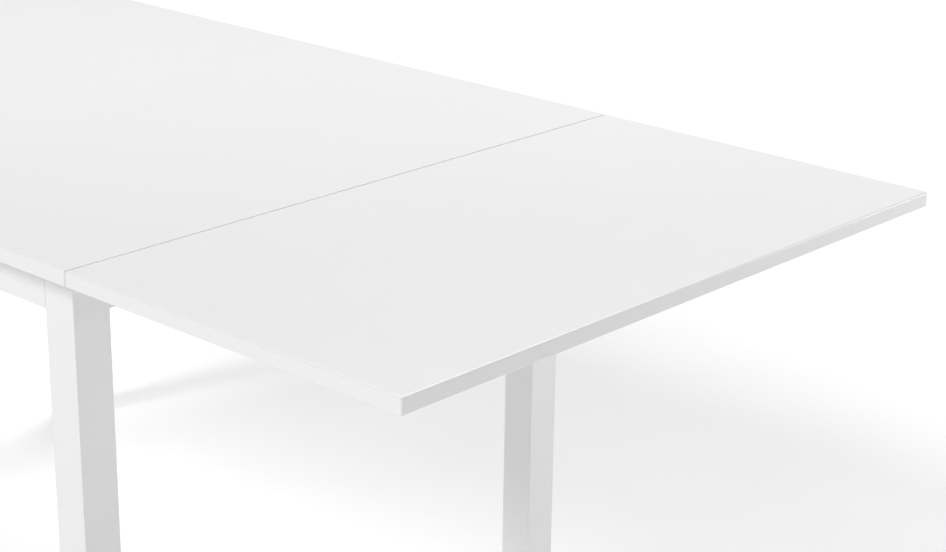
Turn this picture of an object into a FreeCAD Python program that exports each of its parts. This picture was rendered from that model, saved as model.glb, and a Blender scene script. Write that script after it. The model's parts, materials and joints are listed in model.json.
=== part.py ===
"""A dining table with a hinged drop leaf at one end.

Frame: origin on the floor under the middle of the whole table with its leaf raised, +X towards the leaf,
+Y across the table, +Z up. Lengths are millimetres.

The leaf turns on three hinges under the seam. Each of its two stays is a parallelogram: the line from the
hinge axis to the stay's leaf pivot is matched by the arm, and the line from the hinge axis to the stay's
frame pivot is matched by the link, so the stay folds with the leaf and never binds.
"""

import FreeCAD, Part
import math
import os

import Sketcher

Vector = FreeCAD.Vector
Rotation = FreeCAD.Rotation
Placement = FreeCAD.Placement

X_AXIS = Vector(1, 0, 0)
Y_AXIS = Vector(0, 1, 0)
Z_AXIS = Vector(0, 0, 1)
MIDDLE = Vector(0, 0, 0)
FLAT = 0.001

os.makedirs("parts", exist_ok=True)
doc = FreeCAD.newDocument("DropLeafTable")


# ---------------------------------------------------------------- driving dimensions

DIMENSIONS = {
    # tops
    "table_height": 750,
    "table_width": 900,
    "main_length": 1200,
    "leaf_length": 500,
    "board": 18,
    "seam_gap": 0.3,
    "corner_arris": 2.5,
    "arris": 0.6,
    "leaf_arris": 2.5,
    "leaf_low_arris": 1,
    # legs and aprons
    "leg": 50,
    "leg_arris": 0.8,
    "side_setback": 40,
    "end_setback": 42,
    "apron_height": 58,
    "apron": 18,
    "kerf_depth": 10,
    "kerf_height": 3,
    "kerf_drop": 9.5,
    "glide_height": 6,
    "glide_radius": 11,
    "glide_chamfer": 2,
    "glide_nail_radius": 1.5,
    "glide_nail_length": 14,
    # dowels
    "dowel_radius": 4,
    "dowel_length": 30,
    "dowel_point": 1,
    "dowel_spacing": 30,
    "hole_room": 0.5,
    # corner plates and their bolts
    "plate": 2.5,
    "plate_height": 40,
    "web_offset": 84,
    "flange_end": 110,
    "flange_screw_shift": 3,
    "flange_screw_rise": 10,
    "bolt_radius": 4,
    "bolt_in_leg": 40,
    "bolt_length": 72,
    "bolt_taper": 1,
    "nut_radius": 7.5,
    "nut_height": 6.5,
    "nut_face_radius": 6.6,
    "nut_chamfer": 0.6,
    "washer_radius": 9,
    "washer": 1.6,
    # tabletop clips
    "clip": 2,
    "clip_width": 20,
    "clip_tongue": 8,
    "clip_tab": 30,
    "clip_screw_place": 19,
    "clip_spacing": 380,
    "clip_play": 0.5,
    # screws
    "screw_radius": 1.75,
    "screw_head_radius": 3.5,
    "screw_length": 15,
    "screw_point": 4,
    "screw_tip_radius": 0.2,
    "recess": 1,
    "recess_length": 3.6,
    "recess_depth": 1.2,
    # hinges
    "hinge_drop": 3.5,
    "hinge_width": 60,
    "hinge_plate": 2,
    "hinge_reach": 38,
    "hinge_spacing": 300,
    "hinge_screw_inset": 10,
    "hinge_screw_margin": 9,
    "hinge_screw_stagger": 15,
    "knuckle_radius": 3,
    "hinge_pin_radius": 1.5,
    "pin_head": 1,
    "pin_head_radius": 2.5,
    # folding stays
    "stay_offset": 180,
    "stay_back": 30,
    "stay_drop": 35,
    "stay_reach": 280,
    "stay_leaf_drop": 12,
    "stay_plate": 3,
    "stay_gap": 1,
    "arm_width": 16,
    "link_width": 14,
    "bracket_flange": 25,
    "frame_bracket_height": 38,
    "frame_screw_rise": 12,
    "leaf_bracket_length": 56,
    "leaf_screw_spread": 18,
    "rivet_radius": 3,
    "rivet_head_radius": 5,
    "rivet_head": 1.5,
    "stay_washer_radius": 6.5,
    # fits
    "clearance": 0.05,
    "axial_play": 0.1,
}

sheet = doc.addObject("Spreadsheet::Sheet", "Dims")
for row, (name, size) in enumerate(DIMENSIONS.items(), start=1):
    sheet.set(f"A{row}", name)
    sheet.set(f"B{row}", str(size))
    sheet.setAlias(f"B{row}", name)
doc.recompute()


def dim(name):
    """A driving dimension as a number, for what is worked out in code."""
    return float(sheet.get(name))


def cells(formula):
    """A formula in the sheet's own words, ready for setExpression."""
    words = []
    for word in formula.replace("(", " ( ").replace(")", " ) ").split():
        words.append(f"Dims.{word}" if word in DIMENSIONS else word)
    return " ".join(words)


# Formulas shared by several sub-parts.
HALF_LENGTH = "( main_length + leaf_length ) / 2"
SEAM_X = "( ( main_length - leaf_length ) / 2 )"
UNDERSIDE_Z = "( table_height - board )"
APRON_BOTTOM_Z = "( table_height - board - apron_height )"

# The same places as numbers.
seam_x = (dim("main_length") - dim("leaf_length")) / 2
head_x = -(dim("main_length") + dim("leaf_length")) / 2
underside_z = dim("table_height") - dim("board")
apron_middle_z = underside_z - dim("apron_height") / 2
leg_outer_y = dim("table_width") / 2 - dim("side_setback")
leg_leaf_x = seam_x - dim("end_setback")
leg_head_x = head_x + dim("end_setback")
apron_inner_y = leg_outer_y - dim("apron")
apron_leaf_inner_x = leg_leaf_x - dim("apron")
apron_head_inner_x = leg_head_x + dim("apron")

# Every corner: name, end (+1 at the leaf), side (+1 on the far side).
CORNERS = (("leaf_near", 1, -1), ("leaf_far", 1, 1), ("head_near", -1, -1), ("head_far", -1, 1))
SIDES = (("near", -1), ("far", 1))


# ---------------------------------------------------------------- helpers

parts = []


def keep(obj, label):
    """Mark an object as one sub-part, under its own label."""
    obj.Label = label
    parts.append(obj)
    return obj


def bind(obj, **formulas):
    """Bind properties of an object to formulas of the sheet."""
    for prop, formula in formulas.items():
        obj.setExpression(prop.replace("__", "."), cells(formula))
    return obj


def box(name, length, width, height, x="0", y="0", z="0"):
    """A block whose sizes and lowest corner are formulas."""
    block = doc.addObject("Part::Box", name)
    bind(block, Length=length, Width=width, Height=height)
    return bind(block, Placement__Base__x=x, Placement__Base__y=y, Placement__Base__z=z)


def rod(name, radius, height, x="0", y="0", z="0", turn=None):
    """A cylinder that starts at x, y, z, along +Z unless turned."""
    cylinder = doc.addObject("Part::Cylinder", name)
    if turn:
        cylinder.Placement = Placement(MIDDLE, turn)
    bind(cylinder, Radius=radius, Height=height)
    return bind(cylinder, Placement__Base__x=x, Placement__Base__y=y, Placement__Base__z=z)


def cone(name, start_radius, end_radius, height, z="0"):
    """A cone along +Z."""
    tip = doc.addObject("Part::Cone", name)
    return bind(tip, Radius1=start_radius, Radius2=end_radius, Height=height, Placement__Base__z=z)


def dome(name, radius, height, z, upwards=True):
    """Half an ellipsoid on a flat base at z."""
    cap = doc.addObject("Part::Ellipsoid", name)
    cap.Angle1 = 0 if upwards else -90
    cap.Angle2 = 90 if upwards else 0
    return bind(cap, Radius1=height, Radius2=radius, Radius3=radius, Placement__Base__z=z)


def fuse(name, *shapes):
    """One solid made of several."""
    joined = doc.addObject("Part::MultiFuse", name)
    joined.Shapes = list(shapes)
    return joined


def cut(name, base, tool):
    """A solid with another taken away."""
    left = doc.addObject("Part::Cut", name)
    left.Base = base
    left.Tool = tool
    return left


def common(name, *shapes):
    """What several solids share."""
    shared = doc.addObject("Part::MultiCommon", name)
    shared.Shapes = list(shapes)
    return shared


def copies(name, pattern, places):
    """Separate copies of one finished object, one at each place."""
    doc.recompute()
    group = doc.addObject("Part::Feature", name)
    shapes = []
    for place in places:
        shape = pattern.Shape.copy()
        shape.Placement = place.multiply(shape.Placement)
        shapes.append(shape)
    group.Shape = Part.makeCompound(shapes)
    group.Placement = Placement()
    return group


def facing(point, direction):
    """The place of a fastener that enters at a point and runs along a direction."""
    return Placement(Vector(*point), Rotation(Z_AXIS, Vector(*direction)))


def outline(body, role, points):
    """A closed sketch on one of the body's own planes, every corner set by two formulas."""
    sketch = body.newObject("Sketcher::SketchObject", f"{body.Name}_outline")
    plane = next(item for item in body.Origin.OriginFeatures if item.Role == role)
    sketch.AttachmentSupport = [(plane, "")]
    sketch.MapMode = "FlatFace"
    count = len(points)
    for index in range(count):
        # Distinct starting places; the constraints move every corner to its own.
        turn = 2 * math.pi * index / count
        following = 2 * math.pi * (index + 1) / count
        start = Vector(math.cos(turn), math.sin(turn), 0)
        finish = Vector(math.cos(following), math.sin(following), 0)
        sketch.addGeometry(Part.LineSegment(start, finish), False)
    for index in range(count):
        sketch.addConstraint(Sketcher.Constraint("Coincident", index, 2, (index + 1) % count, 1))
    for index, (across, up) in enumerate(points):
        for kind, axis, formula in (("DistanceX", -2, across), ("DistanceY", -1, up)):
            if formula == "0":
                sketch.addConstraint(Sketcher.Constraint("PointOnObject", index, 1, axis))
                continue
            number = sketch.addConstraint(Sketcher.Constraint(kind, -1, 1, index, 1, 1.0))
            sketch.setExpression(f"Constraints[{number}]", cells(formula))
    return sketch


def solid_of_outline(name, role, points, depth):
    """A body padded from a closed outline."""
    body = doc.addObject("PartDesign::Body", name)
    sketch = outline(body, role, points)
    pad = body.newObject("PartDesign::Pad", f"{name}_pad")
    pad.Profile = sketch
    bind(pad, Length=depth)
    sketch.Visibility = False
    doc.recompute()
    return body, pad


def ease(body, feature, radius, wanted):
    """Round the edges of a body that the test picks."""
    names = []
    for number, edge in enumerate(feature.Shape.Edges, start=1):
        if wanted(edge):
            names.append(f"Edge{number}")
    fillet = body.newObject("PartDesign::Fillet", f"{body.Name}_ease_{radius}")
    fillet.Base = (feature, names)
    bind(fillet, Radius=radius)
    doc.recompute()
    return fillet


def block_body(name, length, width, height):
    """A rectangular body with its lowest corner at its own origin."""
    corners = [("0", "0"), (length, "0"), (length, width), ("0", width)]
    return solid_of_outline(name, "XY_Plane", corners, height)


def upright(edge):
    """True for an edge along Z."""
    return abs(edge.tangentAt(edge.FirstParameter).z) > 0.9


def level(edge):
    """True for an edge that stays at one height."""
    return edge.BoundBox.ZLength < FLAT


def lowest(edge):
    """True for an edge that lies on a body's underside."""
    return edge.BoundBox.ZMax < FLAT


# ---------------------------------------------------------------- fasteners

def wood_screw():
    """A countersunk cross-recess screw, its head face at the origin and its point along +Z."""
    head_height = "( screw_head_radius - screw_radius )"
    shank_length = "screw_length - screw_point"
    head = cone("screw_head", "screw_head_radius", "screw_radius", head_height)
    shank = rod("screw_shank", "screw_radius", shank_length)
    point = cone("screw_point", "screw_radius", "screw_tip_radius", "screw_point", z=shank_length)
    blank = fuse("screw_blank", head, shank, point)
    length_start = "- recess_length / 2"
    width_start = "- recess / 2"
    slot = box("recess_slot", "recess_length", "recess", "recess_depth", length_start, width_start)
    crossing = box("recess_crossing", "recess", "recess_length", "recess_depth", width_start, length_start)
    return cut("wood_screw", blank, fuse("screw_recess", slot, crossing))


def screw_hole():
    """The space for a countersunk screw: a pilot hole with a countersink at its mouth."""
    radius = "( screw_radius + clearance )"
    mouth = "( screw_head_radius + clearance )"
    sink = cone("hole_sink", mouth, radius, "screw_head_radius - screw_radius")
    pilot = rod("hole_pilot", radius, "screw_length + clearance")
    return fuse("screw_hole", sink, pilot)


def rivet():
    """A stay rivet along Z, centred on the stack of two plates that it joins."""
    half_grip = "( stay_plate + stay_gap / 2 + axial_play )"
    shank = rod("rivet_shank", "rivet_radius", f"2 * {half_grip}", z=f"- {half_grip}")
    upper = dome("rivet_upper", "rivet_head_radius", "rivet_head", half_grip)
    lower = dome("rivet_lower", "rivet_head_radius", "rivet_head", f"- {half_grip}", upwards=False)
    return fuse("rivet", shank, lower, upper)


def ring(name, outer, inner, height):
    """A flat washer along +Z."""
    return cut(name, rod(f"{name}_disc", outer, height), rod(f"{name}_bore", inner, height))


screw = wood_screw()
hole = screw_hole()


def screw_set(label, places):
    """A group of screws under one label."""
    return keep(copies(label, screw, places), label)


def drilled(name, solid, places):
    """A solid with a screw hole at each place."""
    return cut(name, solid, copies(f"{name}_holes", hole, places))


# ---------------------------------------------------------------- where fasteners go

def hinge_rows():
    """The hinges' middles along Y, by name."""
    spacing = dim("hinge_spacing")
    return (("near", -spacing), ("middle", 0.0), ("far", spacing))


def hinge_screw_places(end):
    """Three staggered screws in every hinge plate on one side of the seam, driven upwards."""
    places = []
    face_z = underside_z - dim("hinge_plate")
    outer = dim("hinge_reach") - dim("hinge_screw_inset")
    inner = dim("hinge_screw_stagger")
    spread = dim("hinge_width") / 2 - dim("hinge_screw_margin")
    for _, middle_y in hinge_rows():
        for reach, shift in ((outer, -spread), (inner, 0.0), (outer, spread)):
            places.append(facing((seam_x + end * reach, middle_y + shift, face_z), (0, 0, 1)))
    return places


def corner_place(end, side):
    """The inner corner of two aprons, turned so that its own +X and +Y run along their inner faces."""
    turns = {(1, 1): 180, (-1, 1): 270, (-1, -1): 0, (1, -1): 90}
    corner_x = apron_leaf_inner_x if end > 0 else apron_head_inner_x
    spot = Vector(corner_x, side * apron_inner_y, apron_middle_z)
    return Placement(spot, Rotation(Z_AXIS, turns[(end, side)]))


def flange_screw_places():
    """Two screws through each flange of one corner plate, in the corner's own frame."""
    middle = (dim("web_offset") + dim("flange_end")) / 2 + dim("flange_screw_shift")
    thick = dim("plate")
    rise = dim("flange_screw_rise")
    places = []
    for height in (-rise, rise):
        places.append(facing((middle, thick, height), (0, -1, 0)))
        places.append(facing((thick, middle, height), (-1, 0, 0)))
    return places


def all_corner_screw_places():
    """The flange screws of all four corner plates, in the table's frame."""
    places = []
    for _, end, side in CORNERS:
        for place in flange_screw_places():
            places.append(corner_place(end, side).multiply(place))
    return places


def diagonal_places(distance):
    """A point on each corner's diagonal, that far from the apron corner, facing into the leg."""
    places = []
    step = distance / math.sqrt(2)
    for _, end, side in CORNERS:
        inward = facing((step, step, 0), (-1, -1, 0))
        places.append(corner_place(end, side).multiply(inward))
    return places


def dowel_places():
    """The middle of every dowel, one half in the leg and one half in the apron."""
    half = dim("dowel_spacing") / 2
    leg = dim("leg")
    centre = dim("apron") / 2
    places = []
    for _, end, side in CORNERS:
        outer_x = leg_leaf_x if end > 0 else leg_head_x
        for height in (apron_middle_z - half, apron_middle_z + half):
            along_x = (outer_x - end * leg, side * (leg_outer_y - centre), height)
            along_y = (outer_x - end * centre, side * (leg_outer_y - leg), height)
            places.append(facing(along_x, (1, 0, 0)))
            places.append(facing(along_y, (0, 1, 0)))
    return places


def clip_places():
    """Tabletop clips: three along each side apron and one in the middle of each end apron."""
    middle_x = (leg_leaf_x + leg_head_x) / 2
    spacing = dim("clip_spacing")
    places = []
    for spot_x in (middle_x - spacing, middle_x, middle_x + spacing):
        places.append(Placement(Vector(spot_x, -apron_inner_y, underside_z), Rotation(Z_AXIS, 90)))
        places.append(Placement(Vector(spot_x, apron_inner_y, underside_z), Rotation(Z_AXIS, -90)))
    places.append(Placement(Vector(apron_head_inner_x, 0, underside_z), Rotation(Z_AXIS, 0)))
    places.append(Placement(Vector(apron_leaf_inner_x, 0, underside_z), Rotation(Z_AXIS, 180)))
    return places


def clip_screw_places():
    """One screw up through each clip's tab."""
    tab = facing((dim("clip_screw_place"), 0, -dim("clip")), (0, 0, 1))
    return [place.multiply(tab) for place in clip_places()]


axis_z = underside_z - dim("hinge_drop")
frame_pivot = Vector(seam_x - dim("stay_back"), 0, axis_z - dim("stay_drop"))
leaf_pivot = Vector(seam_x + dim("stay_reach"), 0, axis_z - dim("stay_leaf_drop"))
knee_pivot = leaf_pivot - Vector(dim("stay_back"), 0, dim("stay_drop"))


def across(side, start, size):
    """Lowest Y of a layer of a stay, counted outwards from the stay's inner face."""
    inner = dim("stay_offset") + start
    return inner if side > 0 else -inner - size


def layer_formula(side, start, size):
    """The same as a formula."""
    if side > 0:
        return f"stay_offset + {start}"
    return f"- stay_offset - ( {start} ) - ( {size} )"


OUTER_LAYER = "( stay_plate + stay_gap )"
stay_middle = dim("stay_plate") + dim("stay_gap") / 2
outer_layer = dim("stay_plate") + dim("stay_gap")


def frame_bracket_screw_places(side):
    """Two screws through the frame bracket's flange, into the end apron."""
    spot_y = side * (dim("stay_offset") - dim("bracket_flange") / 2)
    face_x = leg_leaf_x + dim("plate")
    rise = dim("frame_screw_rise")
    places = []
    for height in (-rise, rise):
        places.append(facing((face_x, spot_y, frame_pivot.z + height), (-1, 0, 0)))
    return places


def leaf_bracket_screw_places(side):
    """Two screws through the leaf bracket's flange, up into the leaf."""
    spot_y = side * (dim("stay_offset") + outer_layer + dim("stay_plate") + dim("bracket_flange") / 2)
    face_z = underside_z - dim("plate")
    spread = dim("leaf_screw_spread")
    places = []
    for along in (-spread, spread):
        places.append(facing((leaf_pivot.x + along, spot_y, face_z), (0, 0, 1)))
    return places


# ---------------------------------------------------------------- tops

def main_top():
    """The fixed board, rounded at its four corners, its long arrises just broken."""
    body, pad = block_body("main_board", "main_length - seam_gap / 2", "table_width", "board")
    rounded = ease(body, pad, "corner_arris", upright)
    ease(body, rounded, "arris", level)
    bind(body, Placement__Base__x=f"- {HALF_LENGTH}", Placement__Base__y="- table_width / 2",
         Placement__Base__z=UNDERSIDE_Z)
    places = hinge_screw_places(-1) + clip_screw_places()
    keep(drilled("main_top", body, places), "main_top")


def drop_leaf():
    """The hinged board, softly rounded above and at its corners, just broken below."""
    body, pad = block_body("leaf_board", "leaf_length - seam_gap / 2", "table_width", "board")
    rounded = ease(body, pad, "leaf_arris", lambda edge: not lowest(edge))
    ease(body, rounded, "leaf_low_arris", lowest)
    bind(body, Placement__Base__x=f"{SEAM_X} + seam_gap / 2", Placement__Base__y="- table_width / 2",
         Placement__Base__z=UNDERSIDE_Z)
    places = hinge_screw_places(1)
    for _, side in SIDES:
        places += leaf_bracket_screw_places(side)
    keep(drilled("drop_leaf", body, places), "drop_leaf")


# ---------------------------------------------------------------- legs and aprons

dowel_hole = rod("dowel_hole", "dowel_radius + clearance", "dowel_length + 2 * hole_room",
                 z="- dowel_length / 2 - hole_room")
bolt_hole = rod("bolt_hole", "bolt_radius + clearance", "bolt_length")
nail_hole = rod("nail_hole", "glide_nail_radius + clearance", "glide_nail_length + hole_room")
bolt_tip = dim("bolt_length") - dim("bolt_in_leg")
leg_corner = math.sqrt(2) * (dim("leg") - dim("apron"))


def leg(name, end, side):
    """A square leg, eased along its length, drilled for dowels, hanger bolt and glide."""
    body, pad = block_body(f"leg_block_{name}", "leg", "leg", f"{UNDERSIDE_Z} - glide_height")
    ease(body, pad, "leg_arris", upright)
    low_x = f"{SEAM_X} - end_setback - leg" if end > 0 else f"- {HALF_LENGTH} + end_setback"
    low_y = "table_width / 2 - side_setback - leg" if side > 0 else "- table_width / 2 + side_setback"
    bind(body, Placement__Base__x=low_x, Placement__Base__y=low_y, Placement__Base__z="glide_height")
    centre = leg_centre(end, side)
    dowels = copies(f"leg_dowel_holes_{name}", dowel_hole, dowel_places())
    bolts = copies(f"leg_bolt_hole_{name}", bolt_hole, diagonal_places(leg_corner + bolt_tip))
    nail_place = facing((centre.x, centre.y, dim("glide_height")), (0, 0, 1))
    nail = copies(f"leg_nail_hole_{name}", nail_hole, [nail_place])
    keep(cut(f"leg_{name}", body, fuse(f"leg_holes_{name}", dowels, bolts, nail)), f"leg_{name}")


def leg_centre(end, side):
    """The leg's middle on the floor."""
    outer_x = leg_leaf_x if end > 0 else leg_head_x
    half = dim("leg") / 2
    return Vector(outer_x - end * half, side * (leg_outer_y - half), 0)


def side_apron(name, side):
    """The long rail between two legs, grooved inside for the tabletop clips."""
    low_y = "table_width / 2 - side_setback - apron" if side > 0 else "- table_width / 2 + side_setback"
    length = "main_length - 2 * end_setback - 2 * leg"
    low_x = f"- {HALF_LENGTH} + end_setback + leg"
    rail = box(f"side_rail_{name}", length, "apron", "apron_height", low_x, low_y, APRON_BOTTOM_Z)
    groove_y = low_y if side > 0 else f"{low_y} + apron - kerf_depth"
    groove_z = f"{UNDERSIDE_Z} - kerf_drop - kerf_height"
    groove = box(f"side_kerf_{name}", length, "kerf_depth", "kerf_height", low_x, groove_y, groove_z)
    dowels = copies(f"side_dowel_holes_{name}", dowel_hole, dowel_places())
    holes = copies(f"side_screw_holes_{name}", hole, all_corner_screw_places())
    cuts = fuse(f"side_cuts_{name}", groove, dowels, holes)
    keep(cut(f"side_apron_{name}", rail, cuts), f"side_apron_{name}")


def end_apron(name, end):
    """The short rail between two legs; the one at the leaf also carries the stays."""
    width = "table_width - 2 * side_setback - 2 * leg"
    low_x = f"{SEAM_X} - end_setback - apron" if end > 0 else f"- {HALF_LENGTH} + end_setback"
    low_y = "- table_width / 2 + side_setback + leg"
    rail = box(f"end_rail_{name}", "apron", width, "apron_height", low_x, low_y, APRON_BOTTOM_Z)
    groove_x = low_x if end > 0 else f"{low_x} + apron - kerf_depth"
    groove_z = f"{UNDERSIDE_Z} - kerf_drop - kerf_height"
    groove = box(f"end_kerf_{name}", "kerf_depth", width, "kerf_height", groove_x, low_y, groove_z)
    places = all_corner_screw_places()
    if end > 0:
        for _, side in SIDES:
            places += frame_bracket_screw_places(side)
    dowels = copies(f"end_dowel_holes_{name}", dowel_hole, dowel_places())
    holes = copies(f"end_screw_holes_{name}", hole, places)
    keep(cut(f"end_apron_{name}", rail, fuse(f"end_cuts_{name}", groove, dowels, holes)), f"end_apron_{name}")


def dowels():
    """Beech dowels that place the aprons on the legs, pointed slightly at both ends."""
    half = "dowel_length / 2"
    tip_radius = "dowel_radius - dowel_point"
    pin = rod("dowel_pin", "dowel_radius", "dowel_length - 2 * dowel_point", z=f"- {half} + dowel_point")
    low = cone("dowel_low", tip_radius, "dowel_radius", "dowel_point", z=f"- {half}")
    high = cone("dowel_high", "dowel_radius", tip_radius, "dowel_point", z=f"{half} - dowel_point")
    keep(copies("apron_dowels", fuse("dowel", pin, low, high), dowel_places()), "apron_dowels")


def foot_glide(name, end, side):
    """A nylon pad with its nail up in the leg."""
    centre = leg_centre(end, side)
    pad = rod(f"glide_pad_{name}", "glide_radius", "glide_height - glide_chamfer", z="glide_chamfer")
    foot = cone(f"glide_foot_{name}", "glide_radius - glide_chamfer", "glide_radius", "glide_chamfer")
    nail = rod(f"glide_nail_{name}", "glide_nail_radius", "glide_nail_length", z="glide_height")
    glide = fuse(f"glide_{name}", pad, foot, nail)
    glide.Placement = Placement(centre, Rotation())
    keep(glide, f"foot_glide_{name}")


# ---------------------------------------------------------------- corner joints

def corner_plate(name, end, side):
    """A pressed plate across the corner, its two flanges flat on the aprons."""
    bend = "( web_offset + ( 2 ^ 0.5 - 1 ) * plate )"
    points = [
        ("web_offset", "0"),
        ("flange_end", "0"),
        ("flange_end", "plate"),
        (bend, "plate"),
        ("plate", bend),
        ("plate", "flange_end"),
        ("0", "flange_end"),
        ("0", "web_offset"),
    ]
    body, _ = solid_of_outline(f"plate_{name}", "XY_Plane", points, "plate_height")
    corner = corner_place(end, side)
    body.Placement = corner.multiply(Placement(Vector(0, 0, -dim("plate_height") / 2), Rotation()))
    screws = [corner.multiply(place) for place in flange_screw_places()]
    holes = copies(f"plate_screw_holes_{name}", hole, screws)
    bolts = copies(f"plate_bolt_hole_{name}", bolt_hole, diagonal_places(leg_corner + bolt_tip))
    cuts = fuse(f"plate_cuts_{name}", holes, bolts)
    keep(cut(f"corner_plate_{name}", body, cuts), f"corner_plate_{name}")


def hanger_bolt():
    """A bolt from its nut end at the origin, both of its ends tapered a little."""
    taper = "bolt_taper"
    tip_radius = "bolt_radius - bolt_taper"
    start = cone("bolt_start", tip_radius, "bolt_radius", taper)
    shank = rod("bolt_shank", "bolt_radius", "bolt_length - 2 * bolt_taper", z=taper)
    end = cone("bolt_end", "bolt_radius", tip_radius, taper, z="bolt_length - bolt_taper")
    return fuse("hanger_bolt", start, shank, end)


def hexagon_nut(bore):
    """A hexagonal nut with the corners of both faces turned off."""
    hexagon = doc.addObject("Part::Prism", "nut_hexagon")
    bind(hexagon, Circumradius="nut_radius", Height="nut_height")
    low = cone("nut_low", "nut_face_radius", "nut_radius", "nut_chamfer")
    middle = rod("nut_middle", "nut_radius", "nut_height - 2 * nut_chamfer", z="nut_chamfer")
    high = cone("nut_high", "nut_radius", "nut_face_radius", "nut_chamfer", z="nut_height - nut_chamfer")
    blank = common("nut_blank", hexagon, fuse("nut_turned", low, middle, high))
    return cut("corner_nut", blank, rod("nut_bore", bore, "nut_height"))


def corner_hardware():
    """Hanger bolt, washer and nut at each corner, and the screws of the plates."""
    web_face = dim("web_offset") / math.sqrt(2) + dim("plate")
    play = dim("axial_play")
    keep(copies("hanger_bolts", hanger_bolt(), diagonal_places(leg_corner + bolt_tip)), "hanger_bolts")
    bore = "bolt_radius + clearance"
    washer = ring("corner_washer", "washer_radius", bore, "washer")
    keep(copies("hanger_washers", washer, diagonal_places(web_face + dim("washer") + play)), "hanger_washers")
    nut = hexagon_nut(bore)
    stack = web_face + dim("washer") + dim("nut_height") + 2 * play
    keep(copies("hanger_nuts", nut, diagonal_places(stack)), "hanger_nuts")
    screw_set("corner_plate_screws", all_corner_screw_places())


def tabletop_clips():
    """Z-shaped clips whose tongues sit in the aprons' grooves, and their screws into the top."""
    points = [
        ("- clip_tongue", "- kerf_drop - clip - clip_play"),
        ("clip_tongue", "- kerf_drop - clip - clip_play"),
        ("clip_tongue", "- clip"),
        ("clip_tab", "- clip"),
        ("clip_tab", "0"),
        ("clip_tongue - clip", "0"),
        ("clip_tongue - clip", "- kerf_drop - clip_play"),
        ("- clip_tongue", "- kerf_drop - clip_play"),
    ]
    body, pad = solid_of_outline("clip_body", "XZ_Plane", points, "clip_width")
    pad.Midplane = True
    tab = facing((dim("clip_screw_place"), 0, -dim("clip")), (0, 0, 1))
    clip = drilled("clip_drilled", body, [tab])
    keep(copies("tabletop_clips", clip, clip_places()), "tabletop_clips")
    screw_set("tabletop_clip_screws", clip_screw_places())


# ---------------------------------------------------------------- leaf hinges

def hinge_plate(name, middle_y, end):
    """One plate of a hinge: the fixed one has the two outer knuckles, the leaf one the middle knuckle."""
    whose = "leaf" if end > 0 else "fixed"
    key = f"{whose}_{name}"
    third = "( hinge_width / 3 )"
    low_y = f"{middle_y:g} - hinge_width / 2"
    axis = f"( {UNDERSIDE_Z} - hinge_drop )"
    plate_z = f"{UNDERSIDE_Z} - hinge_plate"
    gap = "( 2 * axial_play )"
    along_y = Rotation(X_AXIS, -90)
    plate_x = SEAM_X if end > 0 else f"{SEAM_X} - hinge_reach"
    flat = box(f"hinge_flat_{key}", "hinge_reach", "hinge_width", "hinge_plate", plate_x, low_y, plate_z)
    kept_knuckles = []
    cleared = []
    clear_x = f"{SEAM_X} - hinge_drop"
    for number in range(3):
        mine = (number == 1) == (end > 0)
        start = f"{low_y} + {number} * {third}"
        if mine:
            knuckle = rod(f"knuckle_{key}_{number}", "knuckle_radius", f"{third} - {gap}", SEAM_X,
                          f"{start} + axial_play", axis, along_y)
            kept_knuckles.append(knuckle)
        else:
            notch = box(f"notch_{key}_{number}", "2 * hinge_drop", f"{third} + {gap}", "2 * hinge_plate",
                        clear_x, f"{start} - axial_play", plate_z)
            cleared.append(notch)
    blank = fuse(f"hinge_blank_{key}", flat, *kept_knuckles)
    bore = rod(f"hinge_bore_{key}", "hinge_pin_radius + clearance", "hinge_width + 2 * pin_head", SEAM_X,
               f"{low_y} - pin_head", axis, along_y)
    holes = copies(f"hinge_holes_{key}", hole, hinge_screw_places(end))
    shaped = cut(f"hinge_shaped_{key}", blank, fuse(f"hinge_cuts_{key}", bore, holes, *cleared))
    keep(shaped, f"hinge_{whose}_plate_{name}")


def hinge_pin(name, middle_y):
    """A plain pin with a small head at each end, clear of the knuckles."""
    end = "( hinge_width / 2 + axial_play )"
    pin = rod(f"pin_{name}", "hinge_pin_radius", f"2 * {end}", z=f"- {end}")
    low = dome(f"pin_low_{name}", "pin_head_radius", "pin_head", f"- {end}", upwards=False)
    high = dome(f"pin_high_{name}", "pin_head_radius", "pin_head", end)
    whole = fuse(f"hinge_pin_solid_{name}", pin, low, high)
    whole.Placement = Placement(Vector(seam_x, middle_y, axis_z), Rotation(Z_AXIS, Y_AXIS))
    keep(whole, f"hinge_pin_{name}")


def hinges():
    """Three hinges along the seam, with their screws."""
    for name, middle_y in hinge_rows():
        hinge_plate(name, middle_y, -1)
        hinge_plate(name, middle_y, 1)
        hinge_pin(name, middle_y)
    screw_set("hinge_screws_top", hinge_screw_places(-1))
    screw_set("hinge_screws_leaf", hinge_screw_places(1))


# ---------------------------------------------------------------- folding stays

def flat_bar(name, length, width, start, direction_angle):
    """A flat bar with round ends and a rivet hole at each, turned about Y from its first hole."""
    along_y = Rotation(X_AXIS, -90)
    middle = box(f"{name}_middle", length, "stay_plate", width, z=f"- {width} / 2")
    near_end = rod(f"{name}_near_end", f"{width} / 2", "stay_plate", turn=along_y)
    far_end = rod(f"{name}_far_end", f"{width} / 2", "stay_plate", x=length, turn=along_y)
    blank = fuse(f"{name}_blank", middle, near_end, far_end)
    radius = "rivet_radius + clearance"
    first = rod(f"{name}_first_hole", radius, "stay_plate", turn=along_y)
    second = rod(f"{name}_second_hole", radius, "stay_plate", x=length, turn=along_y)
    bar = cut(f"{name}_bar", blank, fuse(f"{name}_both_holes", first, second))
    bar.Placement = Placement(start, Rotation(Y_AXIS, direction_angle))
    return bar


def turn_about_y(line):
    """The turn about Y, in degrees, that takes +X along a line in the XZ plane."""
    return math.degrees(math.atan2(-line.z, line.x))


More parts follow.
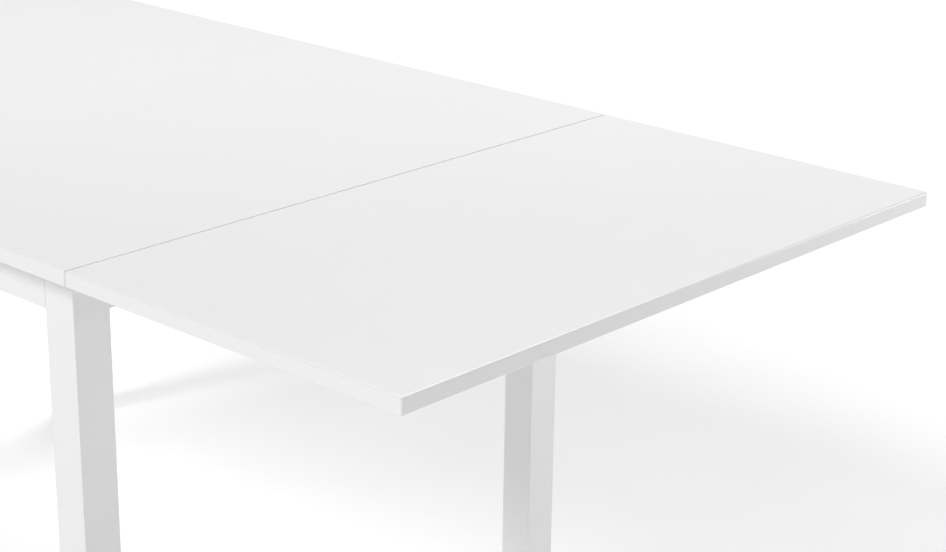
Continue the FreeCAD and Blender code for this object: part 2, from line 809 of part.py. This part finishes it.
def stay_arm(name, side):
    """The long arm from the frame pivot to the knee, parallel to the hinge axis and leaf pivot line."""
    length = "( ( stay_reach ^ 2 + stay_leaf_drop ^ 2 ) ^ 0.5 )"
    start = Vector(frame_pivot.x, across(side, outer_layer, dim("stay_plate")), frame_pivot.z)
    bar = flat_bar(f"arm_{name}", length, "arm_width", start, turn_about_y(knee_pivot - frame_pivot))
    keep(bar, f"stay_arm_{name}")


def stay_link(name, side):
    """The short link from the leaf pivot to the knee."""
    length = "( ( stay_back ^ 2 + stay_drop ^ 2 ) ^ 0.5 )"
    start = Vector(leaf_pivot.x, across(side, 0, dim("stay_plate")), leaf_pivot.z)
    bar = flat_bar(f"link_{name}", length, "link_width", start, turn_about_y(knee_pivot - leaf_pivot))
    keep(bar, f"stay_link_{name}")


def frame_bracket(name, side):
    """An angle bracket on the end apron with a round-ended ear for the frame pivot."""
    along_y = Rotation(X_AXIS, -90)
    face_x = f"( {SEAM_X} - end_setback )"
    pivot_x = f"( {SEAM_X} - stay_back )"
    pivot_z = f"( {UNDERSIDE_Z} - hinge_drop - stay_drop )"
    ear_y = layer_formula(side, "0", "stay_plate")
    flange_y = layer_formula(side, "- bracket_flange", "bracket_flange + stay_plate")
    flange = box(f"frame_flange_{name}", "plate", "bracket_flange + stay_plate", "frame_bracket_height",
                 face_x, flange_y, f"{pivot_z} - frame_bracket_height / 2")
    ear = box(f"frame_ear_{name}", "end_setback - stay_back", "stay_plate", "arm_width",
              face_x, ear_y, f"{pivot_z} - arm_width / 2")
    tip = rod(f"frame_tip_{name}", "arm_width / 2", "stay_plate", pivot_x, ear_y, pivot_z, along_y)
    blank = fuse(f"frame_blank_{name}", flange, ear, tip)
    bore = rod(f"frame_bore_{name}", "rivet_radius + clearance", "stay_plate",
               pivot_x, ear_y, pivot_z, along_y)
    holes = copies(f"frame_bracket_holes_{name}", hole, frame_bracket_screw_places(side))
    shaped = cut(f"frame_bracket_{name}", blank, fuse(f"frame_bracket_cuts_{name}", bore, holes))
    keep(shaped, f"stay_frame_bracket_{name}")


def leaf_bracket(name, side):
    """An angle bracket under the leaf with a round-ended ear for the leaf pivot."""
    along_y = Rotation(X_AXIS, -90)
    pivot_x = f"( {SEAM_X} + stay_reach )"
    pivot_z = f"( {UNDERSIDE_Z} - hinge_drop - stay_leaf_drop )"
    ear_y = layer_formula(side, OUTER_LAYER, "stay_plate")
    flange_y = layer_formula(side, OUTER_LAYER, "bracket_flange + stay_plate")
    flange = box(f"leaf_flange_{name}", "leaf_bracket_length", "bracket_flange + stay_plate", "plate",
                 f"{pivot_x} - leaf_bracket_length / 2", flange_y, f"{UNDERSIDE_Z} - plate")
    ear = box(f"leaf_ear_{name}", "arm_width", "stay_plate", "hinge_drop + stay_leaf_drop",
              f"{pivot_x} - arm_width / 2", ear_y, pivot_z)
    tip = rod(f"leaf_tip_{name}", "arm_width / 2", "stay_plate", pivot_x, ear_y, pivot_z, along_y)
    blank = fuse(f"leaf_blank_{name}", flange, ear, tip)
    bore = rod(f"leaf_bore_{name}", "rivet_radius + clearance", "stay_plate",
               pivot_x, ear_y, pivot_z, along_y)
    holes = copies(f"leaf_bracket_holes_{name}", hole, leaf_bracket_screw_places(side))
    shaped = cut(f"leaf_bracket_{name}", blank, fuse(f"leaf_bracket_cuts_{name}", bore, holes))
    keep(shaped, f"stay_leaf_bracket_{name}")


def pivot_place(side, pivot):
    """The middle of a pivot's two plates, with its own Z along the table's Y."""
    spot = Vector(pivot.x, side * (dim("stay_offset") + stay_middle), pivot.z)
    return Placement(spot, Rotation(Z_AXIS, Y_AXIS))


def stay_pivots():
    """Rivets and friction washers at the frame, leaf and knee pivots."""
    pin = rivet()
    washer = ring("stay_washer", "stay_washer_radius", "rivet_radius + clearance", "stay_gap - 2 * axial_play")
    middle = Placement(Vector(0, 0, dim("axial_play") - dim("stay_gap") / 2), Rotation())
    for whose, pivot in (("frame", frame_pivot), ("leaf", leaf_pivot)):
        spots = [pivot_place(side, pivot) for _, side in SIDES]
        keep(copies(f"stay_{whose}_rivets", pin, spots), f"stay_{whose}_rivets")
        centred = [spot.multiply(middle) for spot in spots]
        keep(copies(f"stay_{whose}_washers", washer, centred), f"stay_{whose}_washers")
    for name, side in SIDES:
        knee = pivot_place(side, knee_pivot)
        keep(copies(f"stay_knee_rivet_{name}", pin, [knee]), f"stay_knee_rivet_{name}")
        keep(copies(f"stay_knee_washer_{name}", washer, [knee.multiply(middle)]), f"stay_knee_washer_{name}")


def stays():
    """Two mirrored stays, with the screws of their brackets."""
    frame_places = []
    leaf_places = []
    for name, side in SIDES:
        frame_bracket(name, side)
        leaf_bracket(name, side)
        stay_arm(name, side)
        stay_link(name, side)
        frame_places += frame_bracket_screw_places(side)
        leaf_places += leaf_bracket_screw_places(side)
    stay_pivots()
    screw_set("stay_screws_frame", frame_places)
    screw_set("stay_screws_leaf", leaf_places)


# ---------------------------------------------------------------- the table

main_top()
drop_leaf()
for corner_name, corner_end, corner_side in CORNERS:
    leg(corner_name, corner_end, corner_side)
    corner_plate(corner_name, corner_end, corner_side)
    foot_glide(corner_name, corner_end, corner_side)
for side_name, side_sign in SIDES:
    side_apron(side_name, side_sign)
end_apron("leaf", 1)
end_apron("head", -1)
dowels()
corner_hardware()
tabletop_clips()
hinges()
stays()
doc.recompute()


# ---------------------------------------------------------------- checks and export

for item in doc.Objects:
    faults = [state for state in item.State if state in ("Invalid", "Error")]
    if faults:
        raise RuntimeError(f"{item.Label} is {faults}")

for part in parts:
    if part.Shape.isNull() or not part.Shape.isValid() or not part.Shape.Solids:
        raise RuntimeError(f"{part.Label} has no valid shape")

for part in parts:
    part.Shape.exportStep(f"parts/{part.Label}.step")
    print(f"{part.Label}: {len(part.Shape.Solids)} solid(s), {part.Shape.Volume / 1000:.2f} cm3")
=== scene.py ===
"""Looks for the drop-leaf table: white satin lacquer on every board and leg, metal fittings underneath."""

import json
import math

import bmesh
import bpy
from mathutils import Matrix, Vector


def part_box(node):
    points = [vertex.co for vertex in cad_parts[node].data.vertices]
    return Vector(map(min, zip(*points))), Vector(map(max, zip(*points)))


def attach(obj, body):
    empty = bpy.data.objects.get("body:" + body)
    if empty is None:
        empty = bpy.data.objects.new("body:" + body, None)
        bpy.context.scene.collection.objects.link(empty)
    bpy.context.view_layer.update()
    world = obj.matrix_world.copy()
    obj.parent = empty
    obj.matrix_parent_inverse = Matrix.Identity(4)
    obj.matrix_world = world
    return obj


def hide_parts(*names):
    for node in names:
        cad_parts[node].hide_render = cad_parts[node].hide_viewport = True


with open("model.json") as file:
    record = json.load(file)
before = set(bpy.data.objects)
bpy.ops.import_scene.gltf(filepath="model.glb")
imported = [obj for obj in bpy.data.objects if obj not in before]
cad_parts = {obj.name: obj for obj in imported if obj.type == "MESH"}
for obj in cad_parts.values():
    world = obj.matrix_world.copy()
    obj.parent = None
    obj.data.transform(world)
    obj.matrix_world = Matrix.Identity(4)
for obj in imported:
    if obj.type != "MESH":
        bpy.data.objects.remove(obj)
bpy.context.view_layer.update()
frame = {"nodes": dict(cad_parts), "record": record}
MILLIMETRE = 0.001

# How fine a metal's grain is along each axis, in waves per metre.
BRUSHED_GRAIN = (40.0, 900.0, 900.0)
EVEN_GRAIN = (700.0, 700.0, 700.0)


# ---------------------------------------------------------------- node helpers

class Shader:
    """One procedural material, built node by node around a Principled BSDF."""

    def __init__(self, name):
        self.material = bpy.data.materials.new(name)
        self.material.use_nodes = True
        self.tree = self.material.node_tree
        self.bsdf = self.tree.nodes["Principled BSDF"]
        self.place = self.node("ShaderNodeTexCoord").outputs["Object"]

    def node(self, kind):
        return self.tree.nodes.new(kind)

    def link(self, source, target):
        self.tree.links.new(source, target)

    def fix(self, socket, value):
        """A constant on the shader's own socket."""
        self.bsdf.inputs[socket].default_value = value

    def stretched(self, scale):
        """Object coordinates scaled along each axis."""
        mapping = self.node("ShaderNodeMapping")
        mapping.inputs["Scale"].default_value = scale
        self.link(self.place, mapping.inputs["Vector"])
        return mapping.outputs["Vector"]

    def noise(self, scale, detail=3.0, roughness=0.5, where=None):
        """A noise value between 0 and 1; scale is waves per metre."""
        made = self.node("ShaderNodeTexNoise")
        made.inputs["Scale"].default_value = scale
        made.inputs["Detail"].default_value = detail
        made.inputs["Roughness"].default_value = roughness
        self.link(where or self.place, made.inputs["Vector"])
        return made.outputs["Fac"]

    def ramp(self, value, low, high, start=0.3, end=0.7):
        """Map a value to a colour between two ends."""
        made = self.node("ShaderNodeValToRGB")
        made.color_ramp.elements[0].position = start
        made.color_ramp.elements[0].color = (*low, 1.0)
        made.color_ramp.elements[1].position = end
        made.color_ramp.elements[1].color = (*high, 1.0)
        self.link(value, made.inputs["Fac"])
        return made.outputs["Color"]

    def span(self, value, low, high, start=0.3, end=0.7):
        """Map a value to a number between low and high."""
        made = self.node("ShaderNodeMapRange")
        made.inputs["From Min"].default_value = start
        made.inputs["From Max"].default_value = end
        made.inputs["To Min"].default_value = low
        made.inputs["To Max"].default_value = high
        self.link(value, made.inputs["Value"])
        return made.outputs["Result"]

    def bump(self, height, strength, distance, below=None):
        """A bump from a height value, in metres of relief."""
        made = self.node("ShaderNodeBump")
        made.inputs["Strength"].default_value = strength
        made.inputs["Distance"].default_value = distance
        self.link(height, made.inputs["Height"])
        if below:
            self.link(below, made.inputs["Normal"])
        return made.outputs["Normal"]

    def colour(self, source):
        self.link(source, self.bsdf.inputs["Base Color"])

    def roughness(self, source):
        self.link(source, self.bsdf.inputs["Roughness"])

    def normal(self, source):
        self.link(source, self.bsdf.inputs["Normal"])


def white_lacquer():
    """Sprayed satin lacquer over smooth board: faint clouding, orange peel and a soft sheen."""
    lacquer = Shader("satin_white_lacquer")
    clouds = lacquer.noise(2.2, detail=2.0)
    lacquer.colour(lacquer.ramp(clouds, (0.770, 0.774, 0.774), (0.782, 0.785, 0.783)))
    haze = lacquer.noise(35.0, detail=4.0)
    lacquer.roughness(lacquer.span(haze, 0.215, 0.245))
    peel = lacquer.noise(420.0, detail=2.0)
    flow = lacquer.noise(60.0, detail=1.0)
    soft = lacquer.bump(flow, 0.25, 0.05 * MILLIMETRE)
    lacquer.normal(lacquer.bump(peel, 0.35, 0.02 * MILLIMETRE, below=soft))
    lacquer.fix("Specular IOR Level", 0.5)
    return lacquer.material


def plated_steel(name, low, high, roughness, grain):
    """Plated metal between two tones, with a fine grain and slightly uneven plating."""
    steel = Shader(name)
    plating = steel.noise(90.0, detail=5.0, roughness=0.6)
    steel.colour(steel.ramp(plating, low, high))
    lines = steel.noise(1.0, detail=4.0, where=steel.stretched(grain))
    steel.roughness(steel.span(lines, roughness - 0.07, roughness + 0.08))
    steel.normal(steel.bump(lines, 0.3, 0.02 * MILLIMETRE))
    steel.fix("Metallic", 1.0)
    return steel.material


def zinc_steel():
    """Zinc plate: small crystals, each with its own tone and dullness."""
    zinc = Shader("zinc_plate")
    cells = zinc.node("ShaderNodeTexVoronoi")
    cells.inputs["Scale"].default_value = 220.0
    zinc.link(zinc.place, cells.inputs["Vector"])
    zinc.colour(zinc.ramp(cells.outputs["Color"], (0.64, 0.66, 0.68), (0.73, 0.74, 0.76), start=0.1, end=0.9))
    zinc.roughness(zinc.span(cells.outputs["Color"], 0.28, 0.42, start=0.1, end=0.9))
    grit = zinc.noise(500.0, detail=4.0)
    zinc.normal(zinc.bump(grit, 0.3, 0.02 * MILLIMETRE))
    zinc.fix("Metallic", 1.0)
    return zinc.material


def beech():
    """Beech: short darker flecks along the fibres of a pale reddish wood."""
    wood = Shader("beech_dowel")
    fibres = wood.noise(1.0, detail=5.0, roughness=0.6, where=wood.stretched((120.0, 120.0, 900.0)))
    wood.colour(wood.ramp(fibres, (0.52, 0.33, 0.18), (0.72, 0.52, 0.33)))
    wood.roughness(wood.span(fibres, 0.55, 0.7))
    wood.normal(wood.bump(fibres, 0.5, 0.1 * MILLIMETRE))
    return wood.material


def nylon():
    """Moulded off-white nylon with a matte, slightly translucent skin."""
    plastic = Shader("moulded_nylon")
    scuffs = plastic.noise(300.0, detail=4.0)
    plastic.colour(plastic.ramp(scuffs, (0.66, 0.65, 0.61), (0.74, 0.73, 0.69)))
    plastic.roughness(plastic.span(scuffs, 0.45, 0.6))
    plastic.normal(plastic.bump(scuffs, 0.3, 0.03 * MILLIMETRE))
    plastic.fix("Subsurface Weight", 0.1)
    plastic.fix("Subsurface Scale", 2 * MILLIMETRE)
    return plastic.material


def studio_floor():
    """A pale, faintly uneven studio floor."""
    ground = Shader("studio_floor")
    mottle = ground.noise(3.0, detail=3.0)
    ground.colour(ground.ramp(mottle, (0.82, 0.82, 0.815), (0.84, 0.84, 0.835)))
    ground.roughness(ground.span(mottle, 0.85, 0.95))
    ground.fix("Specular IOR Level", 0.1)
    ground.fix("Emission Color", (1.0, 1.0, 0.995, 1.0))
    ground.fix("Emission Strength", 0.11)
    return ground.material


# ---------------------------------------------------------------- finishes of the carried-over nodes

def dress_nodes():
    """Give every node the finish of its own material slot in the record."""
    finishes = {
        "lacquer": white_lacquer(),
        "beech": beech(),
        "plated_steel": plated_steel(
            "satin_nickel", (0.57, 0.56, 0.54), (0.63, 0.62, 0.60), roughness=0.32, grain=BRUSHED_GRAIN),
        "zinc_steel": zinc_steel(),
        "bright_steel": plated_steel(
            "bright_zinc", (0.60, 0.61, 0.63), (0.74, 0.75, 0.76), roughness=0.26, grain=EVEN_GRAIN),
        "nylon": nylon(),
    }
    for part in frame["record"]["subparts"]:
        node = frame["nodes"][part["node"]]
        for slot in node.material_slots:
            slot.material = finishes[part["material_slot"]]
    return finishes


# ---------------------------------------------------------------- hanger bolts with cut threads

# The size of the frame's plain bolts, and of the threads: machine thread at the nut, wood thread in the leg.
# MACHINE_END and WOOD_START are measured along the bolt from its nut end.
BOLT_RADIUS = 4 * MILLIMETRE
BOLT_LENGTH = 72 * MILLIMETRE
END_TAPER = 1 * MILLIMETRE
MACHINE_END = 30 * MILLIMETRE
MACHINE_PITCH = 1.25 * MILLIMETRE
MACHINE_DEPTH = 0.6 * MILLIMETRE
WOOD_START = 36 * MILLIMETRE
WOOD_PITCH = 3 * MILLIMETRE
WOOD_DEPTH = 0.9 * MILLIMETRE

# How finely a bolt is drawn: points round it, and rings along it.
AROUND = 24
STEPS = 288


def groove(along, angle, pitch, depth):
    """Depth of a V thread, winding once every pitch, at a distance along the bolt and an angle round it."""
    turn = (along / pitch - angle / (2 * math.pi)) % 1.0
    return depth * abs(2 * turn - 1)


def bolt_radius(along, angle):
    """The bolt's radius at a distance from its nut end and an angle round it."""
    end_distance = min(along, BOLT_LENGTH - along)
    outer = BOLT_RADIUS - max(0.0, END_TAPER - end_distance)
    if along < MACHINE_END:
        return outer - groove(along, angle, MACHINE_PITCH, MACHINE_DEPTH)
    if along > WOOD_START:
        return outer - groove(along, angle, WOOD_PITCH, WOOD_DEPTH)
    return outer


def add_bolt(mesh, place):
    """One threaded bolt along the place's own +Z, closed at both ends."""
    rings = []
    for step in range(STEPS + 1):
        along = BOLT_LENGTH * step / STEPS
        ring = []
        for number in range(AROUND):
            angle = 2 * math.pi * number / AROUND
            radius = bolt_radius(along, angle)
            spot = Vector((radius * math.cos(angle), radius * math.sin(angle), along))
            ring.append(mesh.verts.new(place @ spot))
        rings.append(ring)
    for low, high in zip(rings, rings[1:]):
        for number in range(AROUND):
            following = (number + 1) % AROUND
            mesh.faces.new((low[number], low[following], high[following], high[number]))
    mesh.faces.new(list(reversed(rings[0])))
    mesh.faces.new(rings[-1])


def hanger_bolts(finish):
    """Threaded bolts in the place of the frame's plain ones, each pointing out into its leg."""
    low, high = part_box("hanger_bolts")
    # A bolt lies level at 45 degrees, so its middle is this far inside the box on X and on Y.
    half_span = (BOLT_LENGTH / 2 - END_TAPER + BOLT_RADIUS) / math.sqrt(2)
    mesh = bmesh.new()
    for edge_x, out_x in ((high.x, 1), (low.x, -1)):
        for edge_y, out_y in ((high.y, 1), (low.y, -1)):
            outward = Vector((out_x, out_y, 0)).normalized()
            middle = Vector((edge_x - out_x * half_span, edge_y - out_y * half_span, (low.z + high.z) / 2))
            turn = outward.to_track_quat("Z", "Y").to_matrix().to_4x4()
            add_bolt(mesh, Matrix.Translation(middle - outward * BOLT_LENGTH / 2) @ turn)
    # The sides are four-cornered faces, shaded round. The two ends stay flat.
    for face in mesh.faces:
        face.smooth = len(face.verts) == 4
    data = bpy.data.meshes.new("threaded_hanger_bolts")
    mesh.to_mesh(data)
    mesh.free()
    data.materials.append(finish)
    bolts = bpy.data.objects.new("threaded_hanger_bolts", data)
    bpy.context.collection.objects.link(bolts)
    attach(bolts, "frame")
    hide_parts("hanger_bolts")


# ---------------------------------------------------------------- camera, floor and light

def camera():
    """A long lens in front of the leaf's near corner, looking down across the seam."""
    where = Vector((2.1329, -1.7550, 1.5123))
    yaw = math.radians(-42.509)
    pitch = math.radians(19.379)
    roll = math.radians(0.709)
    ahead = Vector((math.sin(yaw), math.cos(yaw), 0.0))
    forward = ahead * math.cos(pitch) - Vector((0.0, 0.0, math.sin(pitch)))
    level = Vector((math.cos(yaw), -math.sin(yaw), 0.0))
    upright = level.cross(forward)
    right = math.cos(roll) * level + math.sin(roll) * upright
    up = right.cross(forward)
    lens = bpy.data.cameras.new("camera")
    lens.lens = 82.67
    lens.sensor_width = 36.0
    lens.clip_end = 200.0
    view = bpy.data.objects.new("camera", lens)
    view.matrix_world = Matrix.Translation(where) @ Matrix((right, up, -forward)).transposed().to_4x4()
    bpy.context.collection.objects.link(view)
    bpy.context.scene.camera = view


def floor():
    """A plain pale floor far wider than the view."""
    bpy.ops.mesh.primitive_plane_add(size=120.0)
    ground = bpy.context.object
    ground.name = "floor"
    ground.data.materials.append(studio_floor())


def link_lamp(name, lamp, where, direction):
    """Put a lamp in the scene, shining along a direction and unseen by the camera."""
    holder = bpy.data.objects.new(name, lamp)
    holder.location = where
    holder.rotation_euler = Vector(direction).to_track_quat("-Z", "Y").to_euler()
    holder.visible_camera = False
    bpy.context.collection.objects.link(holder)


def broad_light(name, elevation, azimuth, strength, softness):
    """A soft distant light. Angles are in degrees: azimuth 0 is the near side and 90 the leaf end."""
    lamp = bpy.data.lights.new(name, "SUN")
    lamp.energy = strength * math.pi
    lamp.angle = math.radians(softness)
    height = math.radians(elevation)
    turn = math.radians(azimuth)
    level = Vector((math.sin(turn), -math.cos(turn), 0.0))
    towards = level * math.cos(height) + Vector((0.0, 0.0, math.sin(height)))
    # Only a sun's direction matters. Its place just keeps the lamp clear of the table.
    link_lamp(name, lamp, 5.0 * towards, -towards)


def softbox(name, where, target, size, radiance):
    """A rectangular lamp of a given radiance, aimed at a point."""
    lamp = bpy.data.lights.new(name, "AREA")
    lamp.shape = "RECTANGLE"
    lamp.size, lamp.size_y = size
    lamp.energy = radiance * math.pi * size[0] * size[1]
    link_lamp(name, lamp, where, Vector(target) - Vector(where))


def studio_light():
    """A white surround, a soft key from the near side, and a fill, a card and a long panel on the far side."""
    world = bpy.data.worlds.new("surround")
    bpy.context.scene.world = world
    world.use_nodes = True
    background = world.node_tree.nodes["Background"]
    background.inputs["Color"].default_value = (1.0, 1.0, 1.0, 1.0)
    background.inputs["Strength"].default_value = 0.46
    broad_light("key", elevation=38.0, azimuth=-6.0, strength=0.48, softness=18.0)
    broad_light("far_left_fill", elevation=50.0, azimuth=215.0, strength=0.43, softness=40.0)
    softbox("right_card", where=(1.7, 1.5, 0.8), target=(0.3, 0.6, 0.6), size=(0.5, 0.5), radiance=7.0)
    softbox("far_panel", where=(-5.4, 5.9, 2.7), target=(0.0, 0.0, 0.75), size=(12.0, 0.7), radiance=1.1)


bpy.context.scene.view_settings.view_transform = "Standard"
camera()
finishes = dress_nodes()
hanger_bolts(finishes["bright_steel"])
floor()
studio_light()
